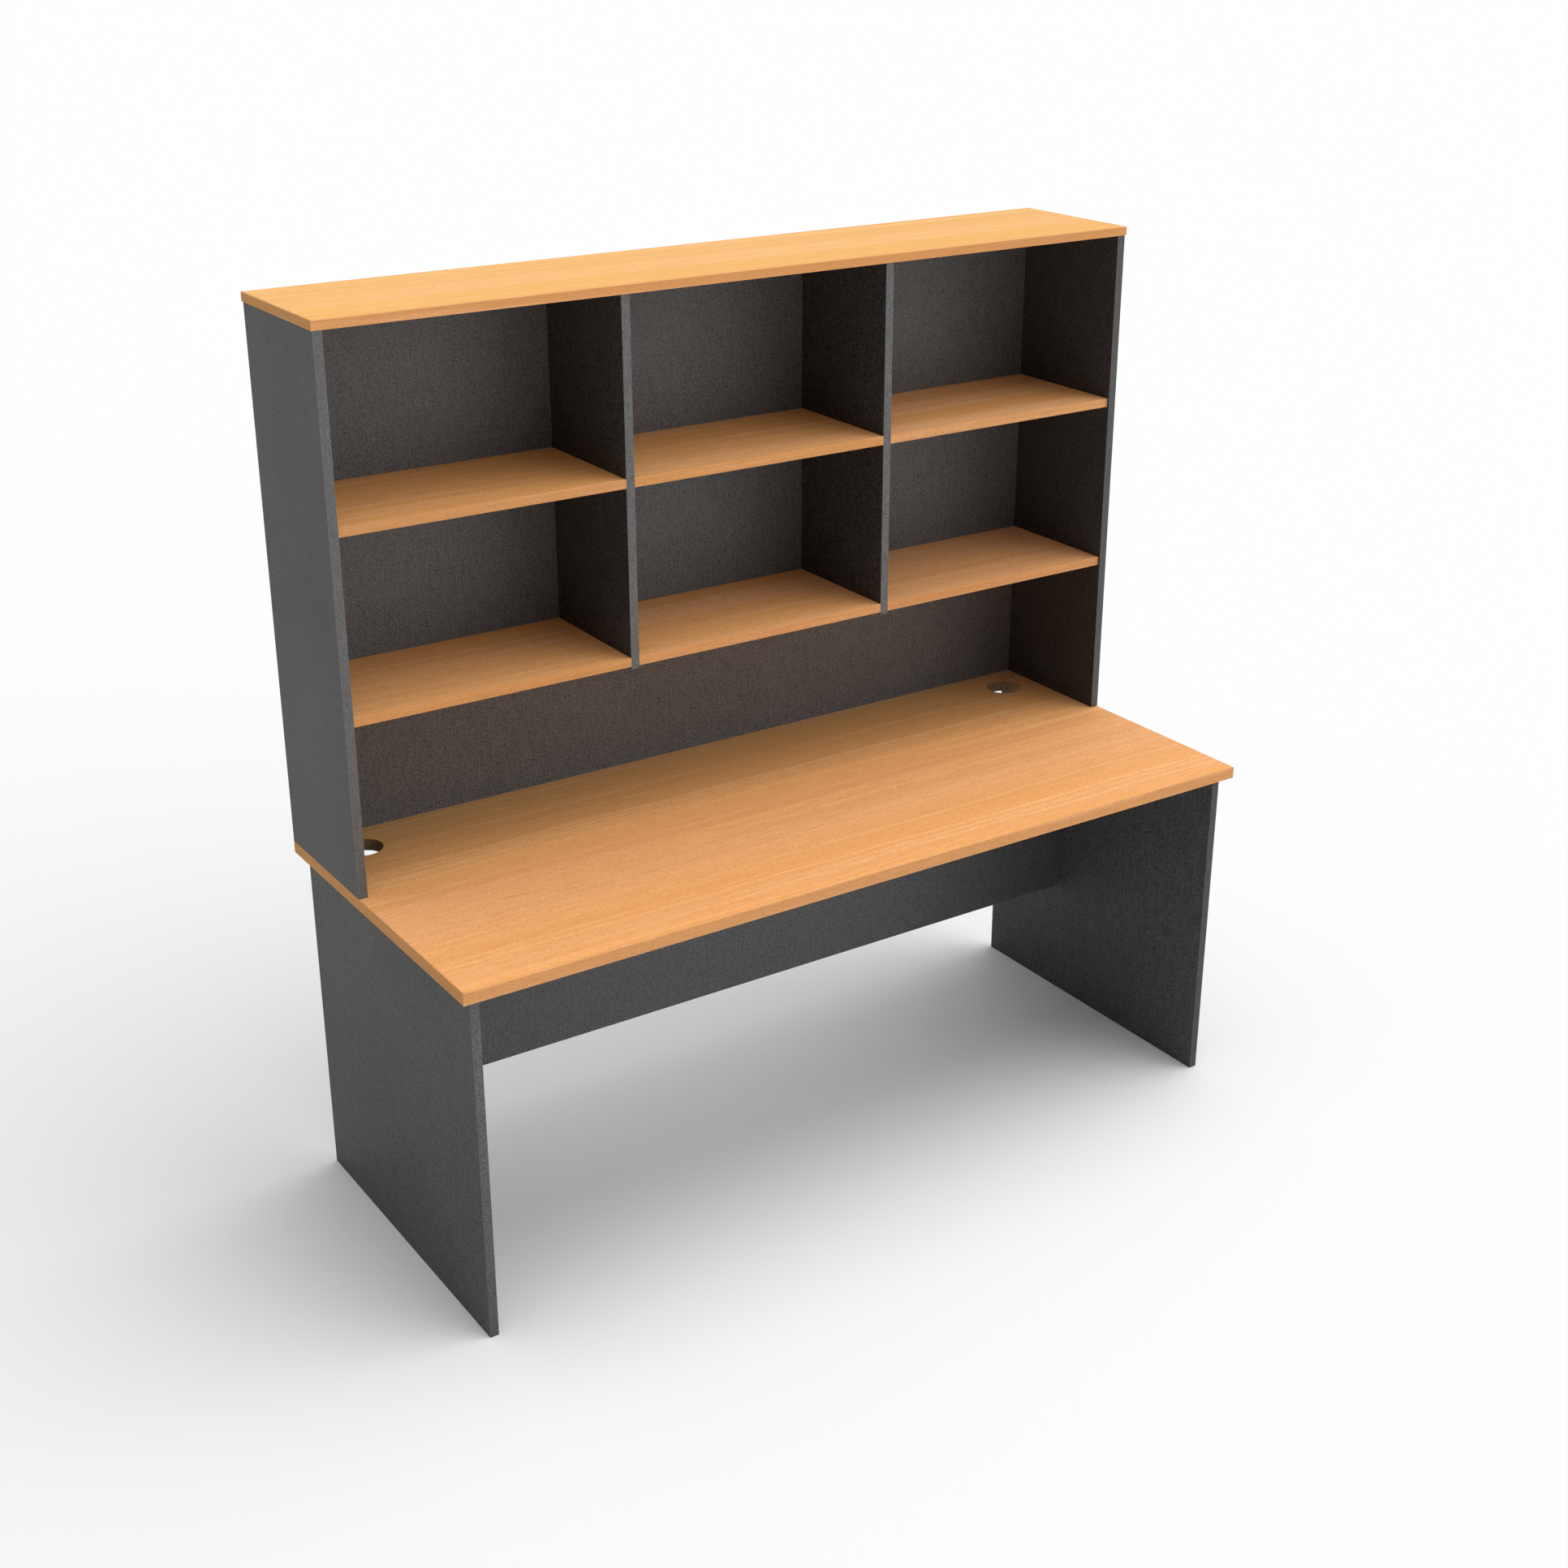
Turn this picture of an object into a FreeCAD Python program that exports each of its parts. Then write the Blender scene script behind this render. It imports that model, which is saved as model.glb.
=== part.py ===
import FreeCAD, Part
import os

# Student desk with an open-shelf hutch, cut from melamine-faced board.
# Millimetres, +Z up, +Y to the rear. The origin is on the floor, under the middle of the whole piece.

Vector = FreeCAD.Vector
RIGHT = Vector(1, 0, 0)
LEFT = Vector(-1, 0, 0)
REAR = Vector(0, 1, 0)
FRONT = Vector(0, -1, 0)
UP = Vector(0, 0, 1)
DOWN = Vector(0, 0, -1)

# Boards
sheet = 18.0
desktop_thickness = 25.0

# Desk
desktop_width = 1800.0
desktop_depth = 750.0
desk_height = 730.0
leg_end_inset = 20.0
leg_front_inset = 20.0
leg_rear_inset = 20.0
modesty_height = 450.0
modesty_rear_setback = 222.0

# Cable holes through the desktop, centred from its ends and its rear edge
cable_hole_diameter = 80.0
cable_hole_from_end = 100.0
cable_hole_from_rear = 103.0

# Hutch. The space over the upper shelves is what is left under its top.
hutch_depth = 315.0
hutch_height = 1070.0
lower_shelf_space = 336.0
upper_shelf_space = 336.0
shelf_front_setback = 5.0
divider_drop = 5.0
bays = ("left", "centre", "right")
dividers = ("left_divider", "right_divider")

# Edging. The 2 mm strips stand proud of the hutch top's core, so they overhang the hutch all round.
thick_edging = 2.0
thin_edging = 1.0
thick_edging_radius = 1.5
thin_edging_chamfer = 0.4
largest_easing = 0.9  # of the strip's thickness, for its rounding or its chamfer

# Biscuits, the lens-shaped beech tongues that join the boards, and the saw that cuts their slots
biscuit_length = 47.0
biscuit_width = 15.0
biscuit_thickness = 4.0
slot_cutter_diameter = 100.0
biscuit_from_board_end = 60.0
modesty_biscuit_from_board_end = 100.0
back_biscuit_from_board_end = 150.0

# Cam locks in the legs, each turned behind the head of a bolt that is screwed up into the desktop
cam_diameter = 15.0
cam_height = 13.5
cam_setback = 34.0
cam_throw = 0.5
cam_turn = 130.0
cam_recess_length = 7.0
cam_recess_width = 1.4
cam_recess_depth = 2.5
cam_from_leg_edge = 60.0
bolt_diameter = 5.0
bolt_in_desktop = 11.0
bolt_neck_diameter = 4.0
bolt_head_diameter = 6.8
bolt_head_length = 4.0
bolt_hole_diameter = 8.0

# Clearances: round a fitting in its hole or slot, past its end, and round a bolt inside its cam
side_clearance = 0.1
end_clearance = 0.5
bolt_clearance = 0.3

# Faces that boards share, worked out from the sizes above
overall_depth = desktop_depth + thick_edging
desk_front = -overall_depth / 2
desk_rear = desk_front + desktop_depth
desk_end = desktop_width / 2
desk_underside = desk_height - desktop_thickness
leg_outer = desk_end - leg_end_inset
leg_inner = leg_outer - sheet
leg_front = desk_front + leg_front_inset
leg_rear = desk_rear - leg_rear_inset
modesty_rear = desk_rear - modesty_rear_setback
modesty_front = modesty_rear - sheet
modesty_bottom = desk_underside - modesty_height
hutch_front = desk_rear - hutch_depth
hutch_inner = desk_end - sheet
hutch_summit = desk_height + hutch_height
hutch_ceiling = hutch_summit - sheet
back_front = desk_rear - sheet
shelf_front = hutch_front + shelf_front_setback
lower_shelf_bottom = desk_height + lower_shelf_space
upper_shelf_bottom = lower_shelf_bottom + sheet + upper_shelf_space
shelf_bottoms = {"lower": lower_shelf_bottom, "upper": upper_shelf_bottom}
divider_bottom = lower_shelf_bottom - divider_drop
bay_width = (2 * hutch_inner - len(dividers) * sheet) / len(bays)
bay_lefts = [-hutch_inner + i * (bay_width + sheet) for i in range(len(bays))]

# Lengths closer than this count as equal
hair = 1e-6

boards = {}
holes = {}
nodes = {}


def block(low, high):
    """A box between two opposite corners."""
    size = high - low
    return Part.makeBox(size.x, size.y, size.z, low)


def outer_long_edges(strip, outward):
    """The two edges that run along a strip's outer face."""
    length = max(edge.Length for edge in strip.Edges)
    reach = max(vertex.Point.dot(outward) for vertex in strip.Vertexes)
    chosen = []
    for edge in strip.Edges:
        outermost = all(abs(vertex.Point.dot(outward) - reach) < hair for vertex in edge.Vertexes)
        if outermost and abs(edge.Length - length) < hair:
            chosen.append(edge)
    return chosen


def edging_strip(low, high, outward, band):
    """A strip of edging. The thick one is rounded along its outer face, the thin one chamfered."""
    strip = block(low, high)
    eased = outer_long_edges(strip, outward)
    limit = largest_easing * band
    if band == thick_edging:
        return strip.makeFillet(min(thick_edging_radius, limit), eased)
    return strip.makeChamfer(min(thin_edging_chamfer, limit), eased)


def add_board(name, low, high, edged=(), band=thin_edging):
    """Adds a board whose finished corners are low and high, and the strips on its edged sides."""
    strips = []
    for outward in edged:
        extent = abs((high - low).dot(outward))
        inward = outward * (extent - band)
        if outward in (RIGHT, REAR, UP):
            strips.append(edging_strip(low + inward, high, outward, band))
            high = high - outward * band
        else:
            strips.append(edging_strip(low, high + inward, outward, band))
            low = low - outward * band
    boards[name] = block(low, high)
    if strips:
        nodes[name + "_edging"] = strips


def drill(board, start, direction, diameter, depth):
    """Marks a round hole in a board, which starts at a point on its face or edge."""
    hole = Part.makeCylinder(diameter / 2, depth, start, direction)
    holes.setdefault(board, []).append(hole)


def fit(node, solid):
    """Adds one fitting to the node that holds all those like it."""
    nodes.setdefault(node, []).append(solid)


def turned(solid, origin, along, facing):
    """A fitting made about the origin, moved to a point, its +X turned along and its +Z turned facing."""
    rotation = FreeCAD.Rotation(along, facing.cross(along), facing, "ZXY")
    solid.Placement = FreeCAD.Placement(origin, rotation)
    return solid


def biscuit():
    """A lens-shaped tongue, long on X and wide on Y, about the origin."""
    left_tip = Vector(-biscuit_length / 2, 0, -biscuit_thickness / 2)
    right_tip = Vector(biscuit_length / 2, 0, -biscuit_thickness / 2)
    rear_crown = Vector(0, biscuit_width / 2, -biscuit_thickness / 2)
    front_crown = Vector(0, -biscuit_width / 2, -biscuit_thickness / 2)
    rear_arc = Part.Arc(left_tip, rear_crown, right_tip).toShape()
    front_arc = Part.Arc(right_tip, front_crown, left_tip).toShape()
    return Part.Face(Part.Wire([rear_arc, front_arc])).extrude(UP * biscuit_thickness)


def saw_slot(board, seat, into_board, flat):
    """Marks the slot that a circular saw cuts when it plunges in at the seat. flat is the saw's axis."""
    width = biscuit_thickness + 2 * side_clearance
    depth = biscuit_width / 2 + end_clearance
    radius = slot_cutter_diameter / 2
    hub = seat + into_board * (depth - radius) - flat * (width / 2)
    holes.setdefault(board, []).append(Part.makeCylinder(radius, width, hub, flat))


def biscuit_joint(node, face_board, edge_board, seat, into_edge, along):
    """A biscuit at the seat, where the edge of one board meets the face of another along a line."""
    flat = along.cross(into_edge)
    saw_slot(face_board, seat, into_edge * -1, flat)
    saw_slot(edge_board, seat, into_edge, flat)
    fit(node, turned(biscuit(), seat, along, flat))


def cam_lock():
    """A cam about the bolt's head, closed on a bolt that comes in along -X. Its turning recess faces +Z.

    The head goes in at the mouth. As the cam turns, the neck runs along the track, and the chamber, which
    is off the cam's middle, draws the head in.
    """
    face = sheet / 2
    reach = cam_diameter
    head_room = bolt_head_diameter / 2 + bolt_clearance
    neck_room = bolt_neck_diameter / 2 + bolt_clearance
    head_corner = Vector(bolt_head_length / 2, bolt_head_diameter / 2, 0).Length
    chamber_radius = head_corner + cam_throw + bolt_clearance
    body = Part.makeCylinder(cam_diameter / 2, cam_height, Vector(0, 0, face - cam_height))
    chamber = Part.makeCylinder(chamber_radius, 2 * head_room, Vector(-cam_throw, 0, -head_room))
    mouth = block(Vector(0, -head_room, -head_room), Vector(reach, head_room, head_room))
    mouth.rotate(Vector(), UP, -cam_turn)
    track = Part.makeCylinder(reach, 2 * neck_room, Vector(0, 0, -neck_room), UP, cam_turn)
    track.rotate(Vector(), UP, -cam_turn)
    track_end = block(Vector(0, 0, -neck_room), Vector(reach, neck_room, neck_room))
    long_half = cam_recess_length / 2
    short_half = cam_recess_width / 2
    floor = face - cam_recess_depth
    recess = block(Vector(-long_half, -short_half, floor), Vector(long_half, short_half, face))
    cross_recess = block(Vector(-short_half, -long_half, floor), Vector(short_half, long_half, face))
    return body.cut([chamber, mouth, track, track_end, recess, cross_recess]).Solids[0]


def cam_bolt():
    """A bolt along +X, with its screw end behind the origin and its head at the cam's setback."""
    shank = bolt_diameter / 2
    neck = bolt_neck_diameter / 2
    head = bolt_head_diameter / 2
    neck_start = cam_setback - cam_diameter / 2 - bolt_clearance
    head_start = cam_setback - bolt_head_length / 2
    head_end = cam_setback + bolt_head_length / 2
    outline = [
        Vector(-bolt_in_desktop, 0, 0),
        Vector(-bolt_in_desktop, shank, 0),
        Vector(neck_start, shank, 0),
        Vector(neck_start, neck, 0),
        Vector(head_start, neck, 0),
        Vector(head_start, head, 0),
        Vector(head_end, head, 0),
        Vector(head_end, 0, 0),
        Vector(-bolt_in_desktop, 0, 0),
    ]
    return Part.Face(Part.makePolygon(outline)).revolve(Vector(), RIGHT, 360)


def cam_joint(leg, seat, facing):
    """A cam lock let into a leg's inner face, and the bolt above it, screwed up into the desktop."""
    middle = seat + DOWN * cam_setback
    mouth = middle + facing * (sheet / 2)
    drill(leg, mouth, facing * -1, cam_diameter + 2 * side_clearance, cam_height + end_clearance)
    drill(leg, seat, DOWN, bolt_hole_diameter, cam_setback)
    drill("desktop", seat, UP, bolt_diameter + 2 * side_clearance, bolt_in_desktop + end_clearance)
    fit("leg_cam_locks", turned(cam_lock(), middle, UP, facing))
    fit("leg_cam_bolts", turned(cam_bolt(), seat, DOWN, facing))


def make_desktop():
    low = Vector(-desk_end, desk_front, desk_underside)
    high = Vector(desk_end, desk_rear, desk_height)
    add_board("desktop", low, high, (FRONT, REAR, LEFT, RIGHT), thick_edging)
    for end in (LEFT, RIGHT):
        x = end.x * (desk_end - cable_hole_from_end)
        top = Vector(x, desk_rear - cable_hole_from_rear, desk_height)
        drill("desktop", top, DOWN, cable_hole_diameter, desktop_thickness)


def make_leg(name, end):
    """A leg panel under one end of the desktop, pulled up to it by two cam locks on its inner face."""
    xs = sorted((end.x * leg_outer, end.x * leg_inner))
    low = Vector(xs[0], leg_front, 0)
    high = Vector(xs[1], leg_rear, desk_underside)
    add_board(name, low, high, (FRONT, REAR))
    for y in (leg_front + cam_from_leg_edge, leg_rear - cam_from_leg_edge):
        cam_joint(name, Vector(sum(xs) / 2, y, desk_underside), end * -1)


def make_modesty_panel():
    """The panel between the legs, close under the desktop."""
    low = Vector(-leg_inner, modesty_front, modesty_bottom)
    high = Vector(leg_inner, modesty_rear, desk_underside)
    add_board("modesty_panel", low, high, (DOWN,))
    y = (modesty_front + modesty_rear) / 2
    z_low = modesty_bottom + modesty_biscuit_from_board_end
    z_high = desk_underside - modesty_biscuit_from_board_end
    for leg, end in (("left_leg_panel", LEFT), ("right_leg_panel", RIGHT)):
        for z in (z_low, z_high):
            seat = Vector(end.x * leg_inner, y, z)
            biscuit_joint("modesty_biscuits", leg, "modesty_panel", seat, end * -1, UP)


def make_hutch_top():
    """The hutch top. Its core covers the hutch and its edging overhangs it."""
    overhang = thick_edging
    low = Vector(-desk_end - overhang, hutch_front - overhang, hutch_ceiling)
    high = Vector(desk_end + overhang, desk_rear + overhang, hutch_summit)
    add_board("hutch_top", low, high, (FRONT, REAR, LEFT, RIGHT), thick_edging)


def make_hutch_side(name, end):
    """A hutch side, joined to the hutch top and placed on the desktop by two loose biscuits."""
    xs = sorted((end.x * desk_end, end.x * hutch_inner))
    low = Vector(xs[0], hutch_front, desk_height)
    high = Vector(xs[1], desk_rear, hutch_ceiling)
    add_board(name, low, high, (FRONT, REAR))
    for y in (hutch_front + biscuit_from_board_end, desk_rear - biscuit_from_board_end):
        head = Vector(sum(xs) / 2, y, hutch_ceiling)
        foot = Vector(sum(xs) / 2, y, desk_height)
        biscuit_joint("carcass_biscuits", "hutch_top", name, head, DOWN, REAR)
        biscuit_joint("hutch_locating_biscuits", "desktop", name, foot, UP, REAR)


def make_back_panel():
    """The hutch's back, let in between its sides and joined to them."""
    low = Vector(-hutch_inner, back_front, desk_height)
    high = Vector(hutch_inner, desk_rear, hutch_ceiling)
    add_board("hutch_back_panel", low, high)
    y = (back_front + desk_rear) / 2
    z_low = desk_height + back_biscuit_from_board_end
    z_high = hutch_ceiling - back_biscuit_from_board_end
    for side, end in (("hutch_left_side", LEFT), ("hutch_right_side", RIGHT)):
        for z in (z_low, z_high):
            seat = Vector(end.x * hutch_inner, y, z)
            biscuit_joint("carcass_biscuits", side, "hutch_back_panel", seat, end * -1, UP)


def make_divider(name, left):
    """A divider that hangs from the hutch top, with its left face at the given place."""
    low = Vector(left, shelf_front, divider_bottom)
    high = Vector(left + sheet, back_front, hutch_ceiling)
    add_board(name, low, high, (FRONT, DOWN))
    for y in (shelf_front + biscuit_from_board_end, back_front - biscuit_from_board_end):
        seat = Vector(left + sheet / 2, y, hutch_ceiling)
        biscuit_joint("carcass_biscuits", "hutch_top", name, seat, DOWN, REAR)


def make_shelves(level):
    """One row of shelves, each joined to the uprights on both its sides."""
    bottom = shelf_bottoms[level]
    uprights = ("hutch_left_side",) + dividers + ("hutch_right_side",)
    z = bottom + sheet / 2
    for i, bay in enumerate(bays):
        name = level + "_shelf_" + bay
        left = bay_lefts[i]
        right = left + bay_width
        low = Vector(left, shelf_front, bottom)
        high = Vector(right, back_front, bottom + sheet)
        add_board(name, low, high, (FRONT,))
        for y in (shelf_front + biscuit_from_board_end, back_front - biscuit_from_board_end):
            left_seat = Vector(left, y, z)
            right_seat = Vector(right, y, z)
            biscuit_joint("shelf_biscuits", uprights[i], name, left_seat, RIGHT, REAR)
            biscuit_joint("shelf_biscuits", uprights[i + 1], name, right_seat, LEFT, REAR)


def write_parts():
    """Drills the boards and writes one STEP file for each node."""
    for name, board in boards.items():
        drilled = board.cut(holes[name]) if name in holes else board
        nodes[name] = drilled.Solids
    for name, solids in nodes.items():
        shape = solids[0] if len(solids) == 1 else Part.makeCompound(solids)
        shape.exportStep("parts/" + name + ".step")


make_desktop()
make_leg("left_leg_panel", LEFT)
make_leg("right_leg_panel", RIGHT)
make_modesty_panel()
make_hutch_top()
make_hutch_side("hutch_left_side", LEFT)
make_hutch_side("hutch_right_side", RIGHT)
make_back_panel()
for i, divider in enumerate(dividers):
    make_divider(divider, bay_lefts[i] + bay_width)
for level in shelf_bottoms:
    make_shelves(level)
os.makedirs("parts", exist_ok=True)
write_parts()
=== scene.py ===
import math

import bmesh
import bpy
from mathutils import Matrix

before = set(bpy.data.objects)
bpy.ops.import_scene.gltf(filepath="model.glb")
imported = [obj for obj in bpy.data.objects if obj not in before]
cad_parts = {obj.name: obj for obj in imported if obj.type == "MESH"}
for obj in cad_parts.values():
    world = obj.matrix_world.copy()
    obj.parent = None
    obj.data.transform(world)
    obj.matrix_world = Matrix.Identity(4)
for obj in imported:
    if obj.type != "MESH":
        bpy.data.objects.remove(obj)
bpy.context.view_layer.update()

LEVELS = ("lower", "upper")
BAYS = ("left", "centre", "right")
SHELVES = [level + "_shelf_" + bay for level in LEVELS for bay in BAYS]
BEECH_BOARDS = ["desktop", "hutch_top"] + SHELVES
# Charcoal boards whose broad faces look sideways
SIDEWAYS_BOARDS = [
    "left_leg_panel",
    "right_leg_panel",
    "hutch_left_side",
    "hutch_right_side",
]
DIVIDERS = ["left_divider", "right_divider"]
BISCUITS = ["modesty_biscuits", "carcass_biscuits", "shelf_biscuits", "hutch_locating_biscuits"]

# Beech print: two band colours, the warmer tint of some bands, pale threads, dark fibres and flecks
BEECH = {
    "pale": (0.782, 0.402, 0.177, 1),
    "deep": (0.686, 0.337, 0.129, 1),
    "warm": (0.729, 0.346, 0.099, 1),
    "thread": (0.819, 0.452, 0.201, 1),
    "fibre": (0.618, 0.222, 0.051, 1),
}
# The shelves' sheet is a greyer copy of the print, painted shade colour for the bays, and the hutch
# top's is a lighter copy, painted light
SHELF_PAINTED_SHADE_BEECH = {
    "pale": (0.795, 0.427, 0.206, 1),
    "deep": (0.695, 0.356, 0.155, 1),
    "warm": (0.740, 0.368, 0.124, 1),
    "thread": (0.828, 0.468, 0.228, 1),
    "fibre": (0.600, 0.232, 0.062, 1),
}
HUTCH_TOP_PAINTED_LIGHT_BEECH = {
    "pale": (0.858, 0.515, 0.229, 1),
    "deep": (0.746, 0.405, 0.139, 1),
    "warm": (0.795, 0.430, 0.122, 1),
    "thread": (0.897, 0.555, 0.250, 1),
    "fibre": (0.683, 0.300, 0.068, 1),
}
# The edging is duller than the sheets
EDGE_BEECH = {
    "pale": (0.666, 0.328, 0.147, 1),
    "deep": (0.584, 0.277, 0.112, 1),
    "warm": (0.615, 0.284, 0.098, 1),
    "thread": (0.707, 0.363, 0.167, 1),
    "fibre": (0.482, 0.218, 0.076, 1),
}
SHELF_EDGE_BEECH = {
    "pale": (0.625, 0.312, 0.132, 1),
    "deep": (0.545, 0.262, 0.100, 1),
    "warm": (0.575, 0.268, 0.086, 1),
    "thread": (0.660, 0.345, 0.150, 1),
    "fibre": (0.445, 0.205, 0.068, 1),
}
# Painted shade colour: further back, where the hutch shades them, the desktop and shelves take these
# cooler, greyer tints
DESKTOP_PAINTED_SHADE_TINT = (0.82, 1.09, 1.35, 1)
SHELF_PAINTED_SHADE_TINT = (0.98, 1.06, 1.14, 1)
PAINTED_SHADE_STARTS = 0.02
PAINTED_SHADE_ENDS = 0.35
# Painted light: towards the desktop's front edge it is paler by this tint
DESKTOP_PAINTED_LIGHT = (1.14, 1.14, 1.17, 1)
PAINTED_LIGHT_STARTS = -0.10
PAINTED_LIGHT_ENDS = -0.376
# The strips at a board's two ends are a little warmer by this
BEECH_END_TINT = (1.04, 1.05, 0.91, 1)
BEECH_RUBBED = (0.80, 0.42, 0.18, 1)
BEECH_GLOSS = 0.06
BEECH_ROUGHNESS = 0.56
BEECH_RELIEF = 0.00003
# Under the desktop, a pale sheet that balances its print
BACKING_PALE = (0.78, 0.78, 0.775, 1)
BACKING_GREY = (0.68, 0.68, 0.675, 1)

# Charcoal print of the sheets: its ground, its hollows and its pale specks
CHARCOAL = {
    "pale": (0.089, 0.089, 0.0895, 1),
    "deep": (0.020, 0.020, 0.0202, 1),
    "speck": (0.165, 0.165, 0.165, 1),
}
# The dividers' sheet is a deeper copy, painted shade for their faces inside the bays
DIVIDER_PAINTED_SHADE_CHARCOAL = {
    "pale": (0.056, 0.056, 0.0565, 1),
    "deep": (0.004, 0.004, 0.0041, 1),
    "speck": (0.125, 0.125, 0.125, 1),
}
# The boards that face the front have glossier sheets: the hutch's back a paler copy, painted light, and
# the modesty panel a darker copy than that, painted shade
BACK_PAINTED_LIGHT_CHARCOAL = {
    "pale": (0.110, 0.110, 0.1105, 1),
    "deep": (0.026, 0.026, 0.0265, 1),
    "speck": (0.195, 0.195, 0.195, 1),
}
MODESTY_PAINTED_SHADE_CHARCOAL = {
    "pale": (0.084, 0.084, 0.0845, 1),
    "deep": (0.0275, 0.0275, 0.028, 1),
    "speck": (0.143, 0.143, 0.143, 1),
}
# Charcoal edging, in three tones: a paler copy as painted light on the left-hand boards and dividers,
# the plain one, and a deeper copy as painted shade on the right-hand boards
PAINTED_LIGHT_EDGE_CHARCOAL = {
    "pale": (0.125, 0.125, 0.1255, 1),
    "deep": (0.027, 0.027, 0.0275, 1),
    "speck": (0.215, 0.215, 0.215, 1),
}
EDGE_CHARCOAL = {
    "pale": (0.110, 0.110, 0.1105, 1),
    "deep": (0.030, 0.030, 0.0305, 1),
    "speck": (0.180, 0.180, 0.180, 1),
}
PAINTED_SHADE_EDGE_CHARCOAL = {
    "pale": (0.070, 0.070, 0.0705, 1),
    "deep": (0.017, 0.017, 0.0175, 1),
    "speck": (0.116, 0.116, 0.116, 1),
}
EDGE_PAINTED_LIGHT_AND_SHADE = {
    "left_leg_panel": PAINTED_LIGHT_EDGE_CHARCOAL,
    "hutch_left_side": PAINTED_LIGHT_EDGE_CHARCOAL,
    "left_divider": PAINTED_LIGHT_EDGE_CHARCOAL,
    "right_divider": PAINTED_LIGHT_EDGE_CHARCOAL,
    "right_leg_panel": PAINTED_SHADE_EDGE_CHARCOAL,
    "hutch_right_side": PAINTED_SHADE_EDGE_CHARCOAL,
}
# Painted shade: the legs' edging is darker, by this tint, from this height down to the floor
LEG_EDGE_PAINTED_SHADE = (0.71, 0.71, 0.71, 1)
LEG_PAINTED_SHADE_TOP = 0.70
CHARCOAL_RUBBED = (0.15, 0.15, 0.151, 1)
LEG_CHARCOAL_RUBBED = (0.12, 0.12, 0.121, 1)
SIDEWAYS_GLOSS = 0.12
FRONTWAYS_GLOSS = 0.5
HUTCH_EDGE_GLOSS = 0.5
LEG_EDGE_GLOSS = 0.3
CHARCOAL_ROUGHNESS = 0.46
CHARCOAL_EDGE_ROUGHNESS = 0.36
CHARCOAL_RELIEF = 0.00006
# The edging's print is finer than the sheets' by this
EDGE_FINENESS = 1.7
# The two right-hand boards' inner faces take these tints over their outer ones: painted shade, darker,
# on the hutch's right side, and painted light, paler, on the right leg
INNER_PAINTED_SHADE_AND_LIGHT = {
    "hutch_right_side": (0.70, 0.70, 0.70, 1),
    "right_leg_panel": (1.12, 1.12, 1.12, 1),
}

# Raw particle board, in holes and on bare edges, darker than bare chips as painted shade for the shaded
# hole walls
CHIP_PALE = (0.42, 0.29, 0.16, 1)
CHIP_DARK = (0.18, 0.10, 0.045, 1)
CHIPS_PER_METRE = 420.0
CORE_ROUGHNESS = 0.9

# Raw beech biscuits
BISCUIT_PALE = (0.60, 0.42, 0.24, 1)
BISCUIT_DARK = (0.44, 0.28, 0.14, 1)
BISCUIT_ROUGHNESS = 0.8
BISCUIT_RELIEF = 0.0001

ZINC = (0.60, 0.60, 0.59, 1)
ZINC_DULL = (0.42, 0.42, 0.42, 1)
ZINC_ROUGHNESS = 0.42
STEEL = (0.68, 0.67, 0.63, 1)
STEEL_DULL = (0.50, 0.48, 0.42, 1)
STEEL_ROUGHNESS = 0.30
METAL_RELIEF = 0.00002

# Patterns in metres, on the part's own axes: cells to the metre along X, Y and Z, the noise's detail and
# roughness, and how it shows, which is the noise's range and the range that this is spread to
BEECH_SWAY = {"cells": (4, 7, 7), "detail": 0, "shows": (0.3, 0.7, -0.004, 0.004)}
BEECH_THREADS = {"cells": (0.6, 95, 95), "detail": 1, "shows": (0.54, 0.72, 0, 0.80)}
BEECH_STREAKS = {"cells": (0.7, 40, 40), "detail": 2, "roughness": 0.6, "shows": (0.45, 0.70, 0, 0.55)}
BEECH_FIBRES = {"cells": (16, 260, 260), "detail": 2, "roughness": 0.7, "shows": (0.46, 0.72, 0, 0.40)}
BEECH_FLECKS = {"cells": (130, 560, 560), "detail": 1, "shows": (0.52, 0.72, 0, 0.70)}
CHARCOAL_CLOUD = {"cells": (9, 9, 6), "detail": 1, "shows": (0.35, 0.75, 0, 0.07)}
CHARCOAL_LINEN = {"cells": (300, 300, 24), "detail": 1, "shows": (0.42, 0.72, 0, 0.5)}
CHARCOAL_PEBBLE = {"cells": (270, 270, 220), "detail": 2, "roughness": 0.65, "shows": (0.35, 0.65, 0, 1)}
CHARCOAL_SPECKS = {"cells": (450, 450, 360), "detail": 0, "shows": (0.62, 0.74, 0, 0.6)}
CHIP_GRIT = {"cells": (1400, 1400, 1400), "detail": 2, "shows": (0.4, 0.7, 0, 0.6)}
BACKING_MOTTLE = {"cells": (90, 90, 90), "detail": 3, "shows": (0.35, 0.65, 0, 1)}
SHEET_SHEEN = {"cells": (3, 3, 3), "detail": 2}
RUBBED_PATCHES = {"cells": (14, 14, 14), "detail": 3, "shows": (0.3, 0.7, 0.35, 0.9)}
BISCUIT_GRAIN = {"cells": (500, 500, 90), "detail": 3, "shows": (0.3, 0.7, 0, 1)}
BISCUIT_PRESSING = {"cells": (900, 900, 900), "detail": 1}
METAL_SKIN = {"cells": (260, 260, 260), "detail": 4, "shows": (0.35, 0.7, 0, 1)}
METAL_GRIT = {"cells": (2500, 2500, 2500), "detail": 1}
# The noise's roughness in patterns that give none
PLAIN_NOISE = 0.5

# Beech bands, and how they show in the deep and in the warm tint
BANDS_PER_METRE = 14
BAND_SOFTNESS = 0.08
BANDS_DEEP = (0.1, 0.9, 0, 1)
BANDS_WARM = (0.3, 0.9, 0, 0.9)
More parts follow.
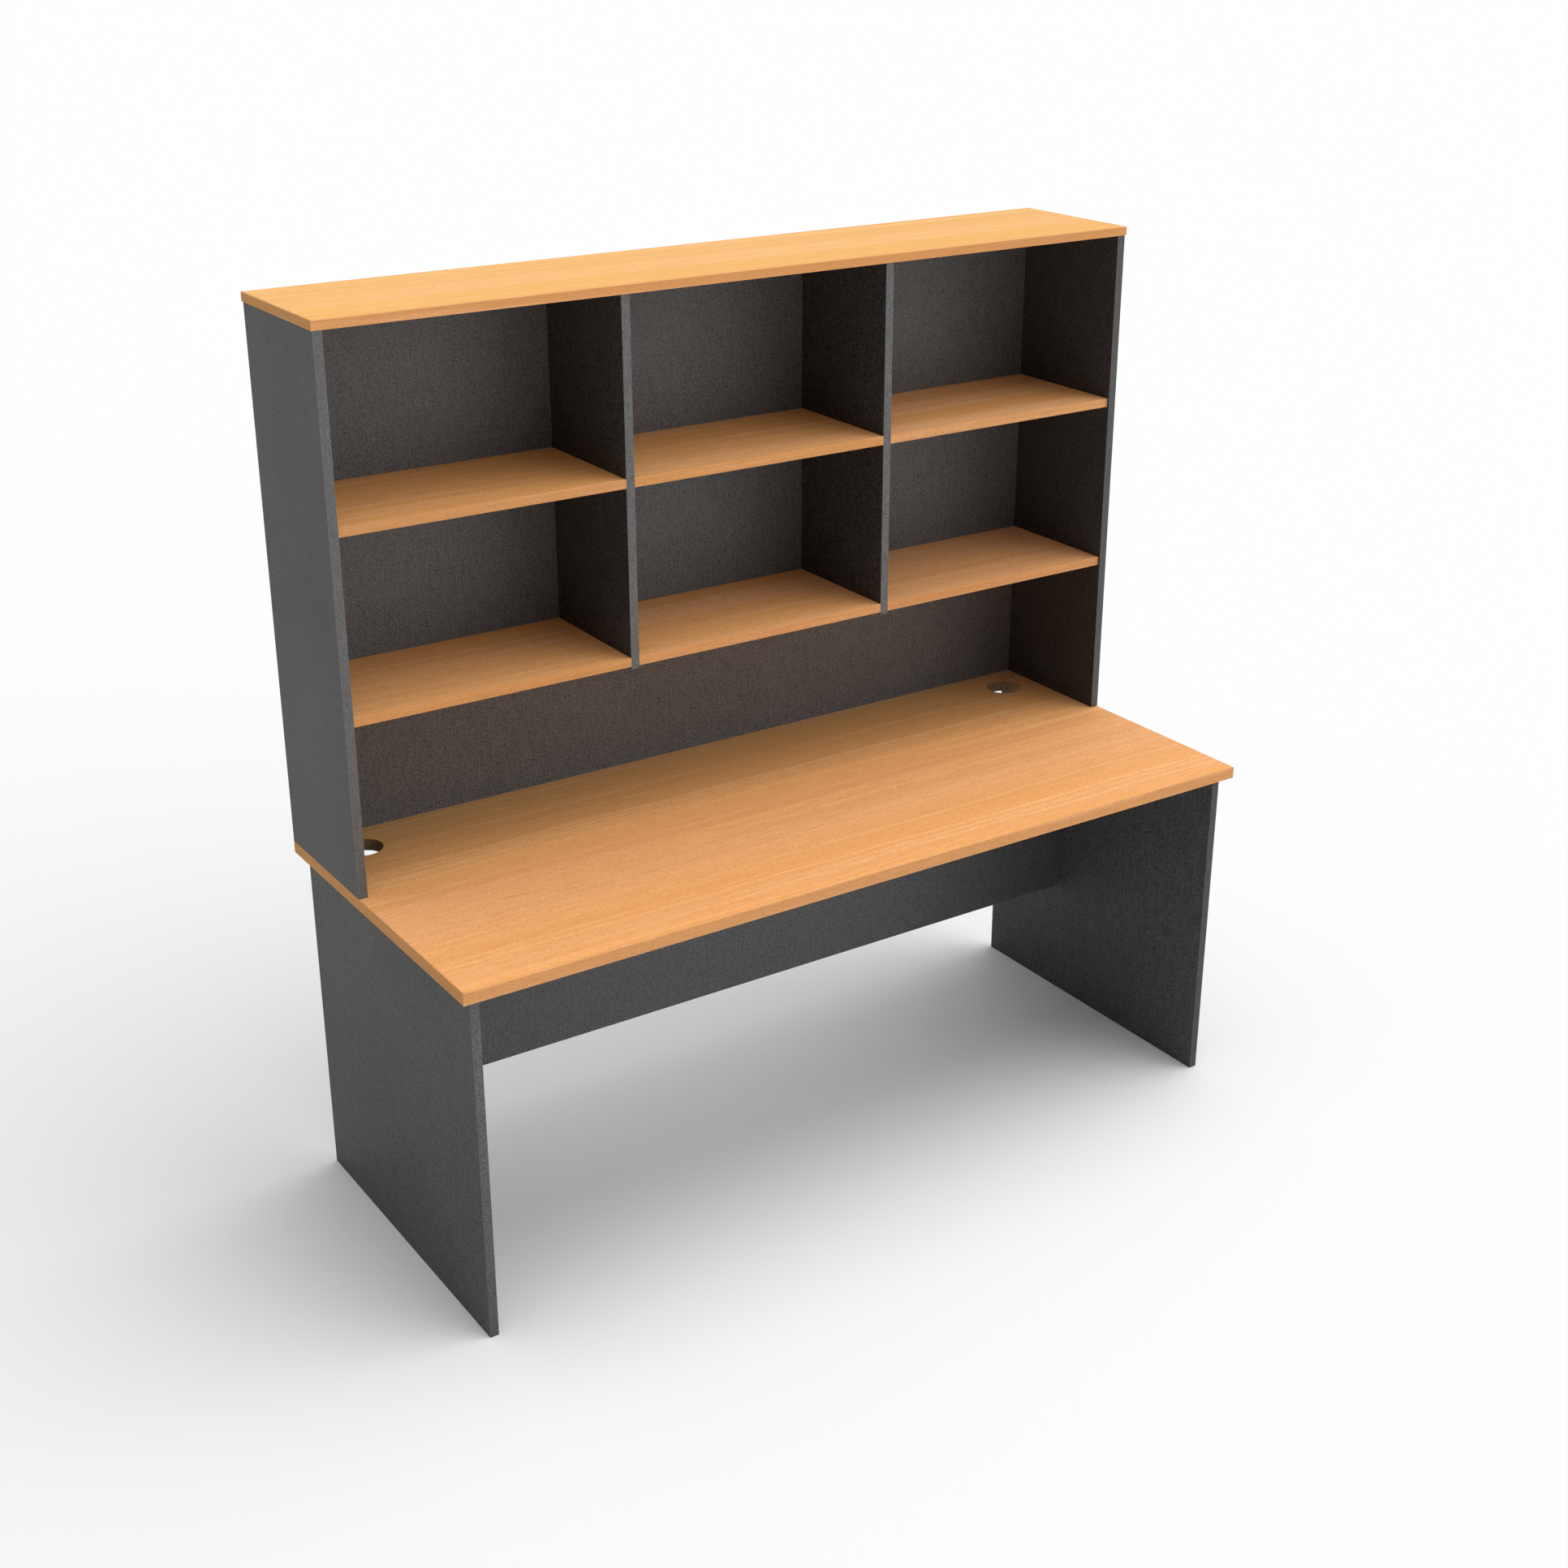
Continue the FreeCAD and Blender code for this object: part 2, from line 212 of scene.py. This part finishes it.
# The threads' share of the beech's relief, and the pebble's share of the charcoal's
THREAD_RELIEF = 0.4
PEBBLE_RELIEF = 0.5
EDGE_RELIEF = 0.00004
# From one board's stretch of the print to the next one's, in metres
GRAIN_STEP = (3.7, 1.9, 0.83)

# Roughness: a pattern's range, and how far it takes a finish's own roughness down and up
SHEET_SATIN = (0.6, 1.4, -0.06, 0.06)
EDGE_SATIN = (0.3, 0.7, -0.04, 0.05)
BISCUIT_SATIN = (0.3, 0.7, -0.1, 0.1)
METAL_SATIN = (0.3, 0.7, -0.08, 0.12)
RUBBED_SMOOTHER = 0.1

# How squarely a face looks along an axis before it counts, first in part and then in full
LOOKS_FROM = 0.45
LOOKS_TO = 0.55
# An eased arris looks less squarely along any axis than this, and a flat face more than that
ARRIS_BELOW = 0.90
FLAT_ABOVE = 0.995

# Studio: the sky's fill, its side light, with its turn from the front and its height in degrees, and its
# top light. A higher fall makes a light narrower
SKY_FILL = 0.14
SIDE_LIGHT = 2.62
SIDE_LIGHT_FALL = 2.0
SIDE_LIGHT_TURN = 63.0
SIDE_LIGHT_HEIGHT = 16.0
TOP_LIGHT = 2.85
TOP_LIGHT_FALL = 8.0
SKY_SEEN = 1.0
FLOOR_HALF = 60.0
FLOOR_PALE = (0.80, 0.80, 0.80, 1)
FLOOR_ROUGHNESS = 0.9

# Camera: lens and film in millimetres, place in metres, and tilt and turn in degrees
LENS = 50.0
FILM_WIDTH = 36.0
CAMERA_SHIFT = -0.0146
CAMERA_PLACE = (-2.2556, -3.3897, 2.5091)
CAMERA_TILT = 22.52
CAMERA_TURN = -33.70


def add(tree, kind, inputs=None, **settings):
    """A shader node, with its inputs joined to other nodes' sockets or set to values."""
    made = tree.nodes.new("ShaderNode" + kind)
    for name, value in settings.items():
        setattr(made, name, value)
    for name, value in (inputs or {}).items():
        if isinstance(value, bpy.types.NodeSocket):
            tree.links.new(value, made.inputs[name])
        else:
            made.inputs[name].default_value = value
    return made


def new_finish(name, roughness, metallic=0.0):
    """A material, and its node tree, shader and object coordinates."""
    material = bpy.data.materials.new(name)
    material.use_nodes = True
    tree = material.node_tree
    shader = tree.nodes["Principled BSDF"]
    shader.inputs["Roughness"].default_value = roughness
    shader.inputs["Metallic"].default_value = metallic
    coords = add(tree, "TexCoord")
    return material, tree, shader, coords


def stretched(tree, place, scale, shift=(0, 0, 0), turn=(0, 0, 0)):
    """Coordinates that are shifted, turned and scaled along each axis."""
    inputs = {"Vector": place, "Location": shift, "Rotation": turn, "Scale": scale}
    return add(tree, "Mapping", inputs).outputs["Vector"]


def noise(tree, place, pattern):
    """A pattern's own noise, before it is spread to show."""
    inputs = {
        "Vector": stretched(tree, place, pattern["cells"]),
        "Scale": 1.0,
        "Detail": pattern["detail"],
        "Roughness": pattern.get("roughness", PLAIN_NOISE),
    }
    return add(tree, "TexNoise", inputs).outputs[0]


def spread(tree, value, low, high, start, end):
    """Takes a pattern's range from low..high to start..end."""
    inputs = {"Value": value, "From Min": low, "From Max": high, "To Min": start, "To Max": end}
    return add(tree, "MapRange", inputs).outputs[0]


def calc(tree, operation, a, b):
    return add(tree, "Math", {0: a, 1: b}, operation=operation).outputs[0]


def blend(tree, share, under, over):
    """The under colour, with a share of the over colour on it."""
    return add(tree, "Mix", {0: share, 6: under, 7: over}, data_type="RGBA").outputs[2]


def blend_value(tree, share, under, over):
    return add(tree, "Mix", {0: share, 2: under, 3: over}, data_type="FLOAT").outputs[0]


def tinted(tree, share, colour, tint):
    """A colour, with a share of a tint multiplied into it."""
    inputs = {0: share, 6: colour, 7: tint}
    return add(tree, "Mix", inputs, data_type="RGBA", blend_type="MULTIPLY").outputs[2]


def laid_on(tree, colour, over, value, pattern):
    """A colour, with another laid on it where a pattern shows."""
    return blend(tree, spread(tree, value, *pattern["shows"]), colour, over)


def shared_relief(tree, first, first_share, second):
    """The sum of two patterns, with the first's share of it given."""
    first = calc(tree, "MULTIPLY", first, first_share)
    return calc(tree, "ADD", first, calc(tree, "MULTIPLY", second, 1 - first_share))


def satin(tree, value, roughness, reach):
    """A finish's roughness, taken below and above it by a pattern."""
    low, high, below, above = reach
    return spread(tree, value, low, high, roughness + below, roughness + above)


def emboss(tree, shader, height, depth):
    """Raises the surface by a pattern, to a depth in metres."""
    bump = add(tree, "Bump", {"Height": height, "Distance": depth})
    tree.links.new(bump.outputs["Normal"], shader.inputs["Normal"])


def facing(tree, coords, axis):
    """How squarely a face looks along an axis, from 0 to 1."""
    parts = add(tree, "SeparateXYZ", {0: coords.outputs["Normal"]})
    return calc(tree, "ABSOLUTE", parts.outputs[axis], 0.0)


def looking_along(tree, coords, axis):
    """1 on faces that look either way along an axis, and 0 on the others."""
    return spread(tree, facing(tree, coords, axis), LOOKS_FROM, LOOKS_TO, 0, 1)


def looking_down(tree, coords, axis):
    """1 on faces that look down an axis, towards its negative end, and 0 on the others."""
    parts = add(tree, "SeparateXYZ", {0: coords.outputs["Normal"]})
    return spread(tree, parts.outputs[axis], -LOOKS_TO, -LOOKS_FROM, 1, 0)


def rubbed_arris(tree, coords):
    """1 on an eased edge, where a face looks along no axis, and 0 on flat faces."""
    squarest = facing(tree, coords, "X")
    for axis in ("Y", "Z"):
        squarest = calc(tree, "MAXIMUM", squarest, facing(tree, coords, axis))
    return spread(tree, squarest, ARRIS_BELOW, FLAT_ABOVE, 1, 0)


def along_ends(tree, coords):
    """Coordinates whose X runs along an edging strip, also on the strips at a board's two ends."""
    place = coords.outputs["Object"]
    turned = stretched(tree, place, (1, 1, 1), turn=(0, 0, math.radians(90)))
    share = looking_along(tree, coords, "X")
    return add(tree, "Mix", {0: share, 4: place, 5: turned}, data_type="VECTOR").outputs[1]


def beech_print(tree, place, shift, tints):
    """Beech with its grain along X: bands, soft streaks, swaying pale threads, fibres and flecks."""
    laid = stretched(tree, place, (1, 1, 1), shift)
    sway = spread(tree, noise(tree, laid, BEECH_SWAY), *BEECH_SWAY["shows"])
    drift = add(tree, "CombineXYZ", {"Y": sway}).outputs[0]
    swaying = add(tree, "VectorMath", {0: laid, 1: drift}, operation="ADD").outputs[0]
    threads = noise(tree, swaying, BEECH_THREADS)
    streaks = noise(tree, laid, BEECH_STREAKS)
    fibres = noise(tree, laid, BEECH_FIBRES)
    flecks = noise(tree, laid, BEECH_FLECKS)
    parts = add(tree, "SeparateXYZ", {0: laid})
    across = calc(tree, "MULTIPLY", parts.outputs["Y"], BANDS_PER_METRE)
    cells = {"W": across, "Scale": 1.0, "Smoothness": BAND_SOFTNESS}
    bands = add(tree, "TexVoronoi", cells, voronoi_dimensions="1D", feature="SMOOTH_F1")
    tones = add(tree, "SeparateColor", {0: bands.outputs["Color"]})
    deep = spread(tree, tones.outputs["Red"], *BANDS_DEEP)
    warm = spread(tree, tones.outputs["Green"], *BANDS_WARM)
    colour = blend(tree, deep, tints["pale"], tints["deep"])
    colour = blend(tree, warm, colour, tints["warm"])
    colour = laid_on(tree, colour, tints["deep"], streaks, BEECH_STREAKS)
    colour = laid_on(tree, colour, tints["thread"], threads, BEECH_THREADS)
    colour = laid_on(tree, colour, tints["fibre"], fibres, BEECH_FIBRES)
    colour = laid_on(tree, colour, tints["fibre"], flecks, BEECH_FLECKS)
    return colour, shared_relief(tree, threads, THREAD_RELIEF, fibres)


def charcoal_print(tree, place, shift, tints):
    """Charcoal with a fine pebble, an upright linen texture and pale specks."""
    placed = stretched(tree, place, (1, 1, 1), shift)
    cloud = noise(tree, placed, CHARCOAL_CLOUD)
    linen = noise(tree, placed, CHARCOAL_LINEN)
    pebble = noise(tree, placed, CHARCOAL_PEBBLE)
    specks = noise(tree, placed, CHARCOAL_SPECKS)
    colour = laid_on(tree, tints["deep"], tints["pale"], pebble, CHARCOAL_PEBBLE)
    colour = laid_on(tree, colour, tints["pale"], linen, CHARCOAL_LINEN)
    colour = laid_on(tree, colour, tints["deep"], cloud, CHARCOAL_CLOUD)
    colour = laid_on(tree, colour, tints["speck"], specks, CHARCOAL_SPECKS)
    return colour, shared_relief(tree, pebble, PEBBLE_RELIEF, linen)


def tinted_towards(tree, place, colour, tint, starts, ends):
    """A colour, with a tint that grows from one place on Y to another."""
    parts = add(tree, "SeparateXYZ", {0: place})
    share = spread(tree, parts.outputs["Y"], starts, ends, 0, 1)
    return tinted(tree, share, colour, tint)


def painted_shade_low(tree, coords, colour):
    """A leg's edging, with painted shade that darkens it towards the floor."""
    parts = add(tree, "SeparateXYZ", {0: coords.outputs["Object"]})
    low = spread(tree, parts.outputs["Z"], 0, LEG_PAINTED_SHADE_TOP, 1, 0)
    return tinted(tree, low, colour, LEG_EDGE_PAINTED_SHADE)


def warmer_at_ends(tree, coords, colour):
    """Beech edging, a little warmer on the strips at a board's two ends."""
    return tinted(tree, looking_along(tree, coords, "X"), colour, BEECH_END_TINT)


def chip_core(tree, coords):
    """The pressed chips inside a board."""
    place = coords.outputs["Object"]
    chips = add(tree, "TexVoronoi", {"Vector": place, "Scale": CHIPS_PER_METRE})
    tone = add(tree, "SeparateColor", {0: chips.outputs["Color"]})
    colour = blend(tree, tone.outputs[0], CHIP_PALE, CHIP_DARK)
    return laid_on(tree, colour, CHIP_DARK, noise(tree, place, CHIP_GRIT), CHIP_GRIT)


def backed(tree, coords, colour):
    """A board's print, with the pale backing sheet on its underside."""
    mottle = noise(tree, coords.outputs["Object"], BACKING_MOTTLE)
    sheet = laid_on(tree, BACKING_PALE, BACKING_GREY, mottle, BACKING_MOTTLE)
    return blend(tree, looking_down(tree, coords, "Z"), colour, sheet)


def melamine(name, print_of, face_axis, gloss, roughness, depth, other_side=None):
    """A melamine board: its print on the broad faces, and bare core on the cut ones."""
    material, tree, shader, coords = new_finish(name, roughness)
    shader.inputs["Specular IOR Level"].default_value = gloss
    place = coords.outputs["Object"]
    colour, relief = print_of(tree, place)
    if other_side:
        colour = other_side(tree, coords, colour)
    cut = spread(tree, facing(tree, coords, face_axis), LOOKS_FROM, LOOKS_TO, 1, 0)
    tree.links.new(blend(tree, cut, colour, chip_core(tree, coords)), shader.inputs["Base Color"])
    sheen = calc(tree, "ADD", noise(tree, place, SHEET_SHEEN), relief)
    rough = blend_value(tree, cut, satin(tree, sheen, roughness, SHEET_SATIN), CORE_ROUGHNESS)
    tree.links.new(rough, shader.inputs["Roughness"])
    emboss(tree, shader, relief, depth)
    return material


def edging(name, print_of, rubbed, gloss, roughness):
    """ABS edging: the board's print along the strip, paler and smoother where the arris is rubbed."""
    material, tree, shader, coords = new_finish(name, roughness)
    shader.inputs["Specular IOR Level"].default_value = gloss
    colour, relief = print_of(tree, coords)
    patches = noise(tree, coords.outputs["Object"], RUBBED_PATCHES)
    patches = spread(tree, patches, *RUBBED_PATCHES["shows"])
    worn = calc(tree, "MULTIPLY", rubbed_arris(tree, coords), patches)
    tree.links.new(blend(tree, worn, colour, rubbed), shader.inputs["Base Color"])
    unworn = satin(tree, relief, roughness, EDGE_SATIN)
    rough = blend_value(tree, worn, unworn, roughness - RUBBED_SMOOTHER)
    tree.links.new(rough, shader.inputs["Roughness"])
    emboss(tree, shader, relief, EDGE_RELIEF)
    return material


def raw_beech(name):
    """A biscuit's bare beech, pressed flat."""
    material, tree, shader, coords = new_finish(name, BISCUIT_ROUGHNESS)
    grain = noise(tree, coords.outputs["Object"], BISCUIT_GRAIN)
    pressing = noise(tree, coords.outputs["Object"], BISCUIT_PRESSING)
    colour = laid_on(tree, BISCUIT_PALE, BISCUIT_DARK, grain, BISCUIT_GRAIN)
    tree.links.new(colour, shader.inputs["Base Color"])
    rough = satin(tree, pressing, BISCUIT_ROUGHNESS, BISCUIT_SATIN)
    tree.links.new(rough, shader.inputs["Roughness"])
    emboss(tree, shader, pressing, BISCUIT_RELIEF)
    return material


def bright_metal(name, clean, dull, roughness):
    """Plated or die-cast metal with a dulled skin."""
    material, tree, shader, coords = new_finish(name, roughness, metallic=1.0)
    skin = noise(tree, coords.outputs["Object"], METAL_SKIN)
    colour = laid_on(tree, clean, dull, skin, METAL_SKIN)
    tree.links.new(colour, shader.inputs["Base Color"])
    tree.links.new(satin(tree, skin, roughness, METAL_SATIN), shader.inputs["Roughness"])
    emboss(tree, shader, noise(tree, coords.outputs["Object"], METAL_GRIT), METAL_RELIEF)
    return material


def finish(node, material):
    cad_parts[node].data.materials[0] = material


def own_grain(index):
    """A shift that gives each board its own stretch of the print."""
    return tuple(step * index for step in GRAIN_STEP)


def finish_beech_board(node, shift):
    # Shelves take the greyer copy as painted shade and the hutch top the lighter one as painted light
    tints = {"desktop": BEECH, "hutch_top": HUTCH_TOP_PAINTED_LIGHT_BEECH}.get(node, SHELF_PAINTED_SHADE_BEECH)
    edge_tints = SHELF_EDGE_BEECH if node in SHELVES else EDGE_BEECH
    painted_shade_tint = {"desktop": DESKTOP_PAINTED_SHADE_TINT, "hutch_top": None}.get(node, SHELF_PAINTED_SHADE_TINT)
    below = backed if node == "desktop" else None

    def print_of(tree, place):
        colour, relief = beech_print(tree, place, shift, tints)
        # Painted shade colour towards the back, where the hutch shades the boards
        if painted_shade_tint:
            colour = tinted_towards(tree, place, colour, painted_shade_tint, PAINTED_SHADE_STARTS, PAINTED_SHADE_ENDS)
        # Painted light: paler towards the desktop's front edge
        if node == "desktop":
            colour = tinted_towards(tree, place, colour, DESKTOP_PAINTED_LIGHT, PAINTED_LIGHT_STARTS, PAINTED_LIGHT_ENDS)
        return colour, relief

    def strip_print_of(tree, coords):
        colour, relief = beech_print(tree, along_ends(tree, coords), shift, edge_tints)
        return warmer_at_ends(tree, coords, colour), relief

    name = "beech_" + node
    finish(node, melamine(name, print_of, "Z", BEECH_GLOSS, BEECH_ROUGHNESS, BEECH_RELIEF, below))
    name = "beech_edge_" + node
    strip = edging(name, strip_print_of, BEECH_RUBBED, BEECH_GLOSS, BEECH_ROUGHNESS)
    finish(node + "_edging", strip)


def finish_charcoal_board(node, shift, axis, tints, gloss):
    on_leg = node.endswith("leg_panel")
    # Edging copies by side: painted light on the left-hand boards, painted shade on the right-hand ones
    edge_tints = EDGE_PAINTED_LIGHT_AND_SHADE.get(node, EDGE_CHARCOAL)
    edge_gloss = LEG_EDGE_GLOSS if on_leg else HUTCH_EDGE_GLOSS
    rubbed = LEG_CHARCOAL_RUBBED if on_leg else CHARCOAL_RUBBED

    def print_of(tree, place):
        return charcoal_print(tree, place, shift, tints)

    # Painted shade or painted light on a board's inner face, by its listed tint
    def inner_painted_shade_and_light(tree, coords, colour):
        return tinted(tree, looking_down(tree, coords, "X"), colour, INNER_PAINTED_SHADE_AND_LIGHT[node])

    def strip_print_of(tree, coords):
        finer = stretched(tree, along_ends(tree, coords), (EDGE_FINENESS,) * 3)
        colour, relief = charcoal_print(tree, finer, shift, edge_tints)
        if on_leg:
            # Painted shade: darker towards the floor
            colour = painted_shade_low(tree, coords, colour)
        return colour, relief

    name = "charcoal_" + node
    painted_inner = inner_painted_shade_and_light if node in INNER_PAINTED_SHADE_AND_LIGHT else None
    finish(node, melamine(name, print_of, axis, gloss, CHARCOAL_ROUGHNESS, CHARCOAL_RELIEF, painted_inner))
    if node + "_edging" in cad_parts:
        name = "charcoal_edge_" + node
        strip = edging(name, strip_print_of, rubbed, edge_gloss, CHARCOAL_EDGE_ROUGHNESS)
        finish(node + "_edging", strip)


def finish_boards():
    for index, node in enumerate(BEECH_BOARDS):
        finish_beech_board(node, own_grain(index))
    for index, node in enumerate(SIDEWAYS_BOARDS):
        finish_charcoal_board(node, own_grain(index), "X", CHARCOAL, SIDEWAYS_GLOSS)
    for index, node in enumerate(DIVIDERS):
        # The dividers take the deeper copy of the sheet as painted shade
        finish_charcoal_board(node, own_grain(index), "X", DIVIDER_PAINTED_SHADE_CHARCOAL, SIDEWAYS_GLOSS)
    # The modesty panel takes the darker copy as painted shade and the hutch's back the paler one as
    # painted light
    finish_charcoal_board("modesty_panel", own_grain(0), "Y", MODESTY_PAINTED_SHADE_CHARCOAL, FRONTWAYS_GLOSS)
    finish_charcoal_board("hutch_back_panel", own_grain(0), "Y", BACK_PAINTED_LIGHT_CHARCOAL, FRONTWAYS_GLOSS)


def finish_fittings():
    biscuit = raw_beech("pressed_beech")
    for node in BISCUITS:
        finish(node, biscuit)
    finish("leg_cam_locks", bright_metal("cast_zinc", ZINC, ZINC_DULL, ZINC_ROUGHNESS))
    finish("leg_cam_bolts", bright_metal("plated_steel", STEEL, STEEL_DULL, STEEL_ROUGHNESS))


def lay_floor():
    """A plain pale floor that keeps the desk's shadow."""
    mesh = bpy.data.meshes.new("studio_floor")
    shape = bmesh.new()
    bmesh.ops.create_grid(shape, x_segments=1, y_segments=1, size=FLOOR_HALF)
    shape.to_mesh(mesh)
    shape.free()
    floor = bpy.data.objects.new("studio_floor", mesh)
    bpy.context.scene.collection.objects.link(floor)
    material, _, shader, _ = new_finish("pale_floor", FLOOR_ROUGHNESS)
    shader.inputs["Base Color"].default_value = FLOOR_PALE
    shader.inputs["Specular IOR Level"].default_value = 0.0
    mesh.materials.append(material)


def light_sky():
    """A white sky, brightest overhead and at the right of the front, and seen as plain white."""
    world = bpy.data.worlds.new("studio_sky")
    bpy.context.scene.world = world
    world.use_nodes = True
    tree = world.node_tree
    tree.nodes.clear()
    way = add(tree, "TexCoord").outputs["Generated"]
    turn = math.radians(SIDE_LIGHT_TURN)
    rise = math.radians(SIDE_LIGHT_HEIGHT)
    level = math.cos(rise)
    side_way = (level * math.sin(turn), -level * math.cos(turn), math.sin(rise))
    towards = add(tree, "VectorMath", {0: way, 1: side_way}, operation="DOT_PRODUCT").outputs["Value"]
    side = calc(tree, "POWER", calc(tree, "MAXIMUM", towards, 0.0), SIDE_LIGHT_FALL)
    height = add(tree, "SeparateXYZ", {0: way}).outputs["Z"]
    top = calc(tree, "POWER", calc(tree, "MAXIMUM", height, 0.0), TOP_LIGHT_FALL)
    light = calc(tree, "ADD", calc(tree, "MULTIPLY", side, SIDE_LIGHT), SKY_FILL)
    light = calc(tree, "ADD", light, calc(tree, "MULTIPLY", top, TOP_LIGHT))
    path = add(tree, "LightPath")
    seen = calc(tree, "MAXIMUM", path.outputs["Is Camera Ray"], path.outputs["Is Glossy Ray"])
    seen = calc(tree, "MAXIMUM", seen, path.outputs["Is Transmission Ray"])
    strength = blend_value(tree, seen, light, SKY_SEEN)
    background = add(tree, "Background", {"Color": (1, 1, 1, 1), "Strength": strength})
    output = add(tree, "OutputWorld")
    tree.links.new(background.outputs[0], output.inputs["Surface"])


def set_camera():
    camera_data = bpy.data.cameras.new("studio_camera")
    camera_data.lens = LENS
    camera_data.sensor_width = FILM_WIDTH
    camera_data.shift_y = CAMERA_SHIFT
    camera = bpy.data.objects.new("studio_camera", camera_data)
    bpy.context.scene.collection.objects.link(camera)
    camera.location = CAMERA_PLACE
    camera.rotation_euler = (math.radians(90 - CAMERA_TILT), 0, math.radians(CAMERA_TURN))
    bpy.context.scene.camera = camera


finish_boards()
finish_fittings()
lay_floor()
light_sky()
set_camera()
bpy.context.scene.view_settings.view_transform = "Standard"
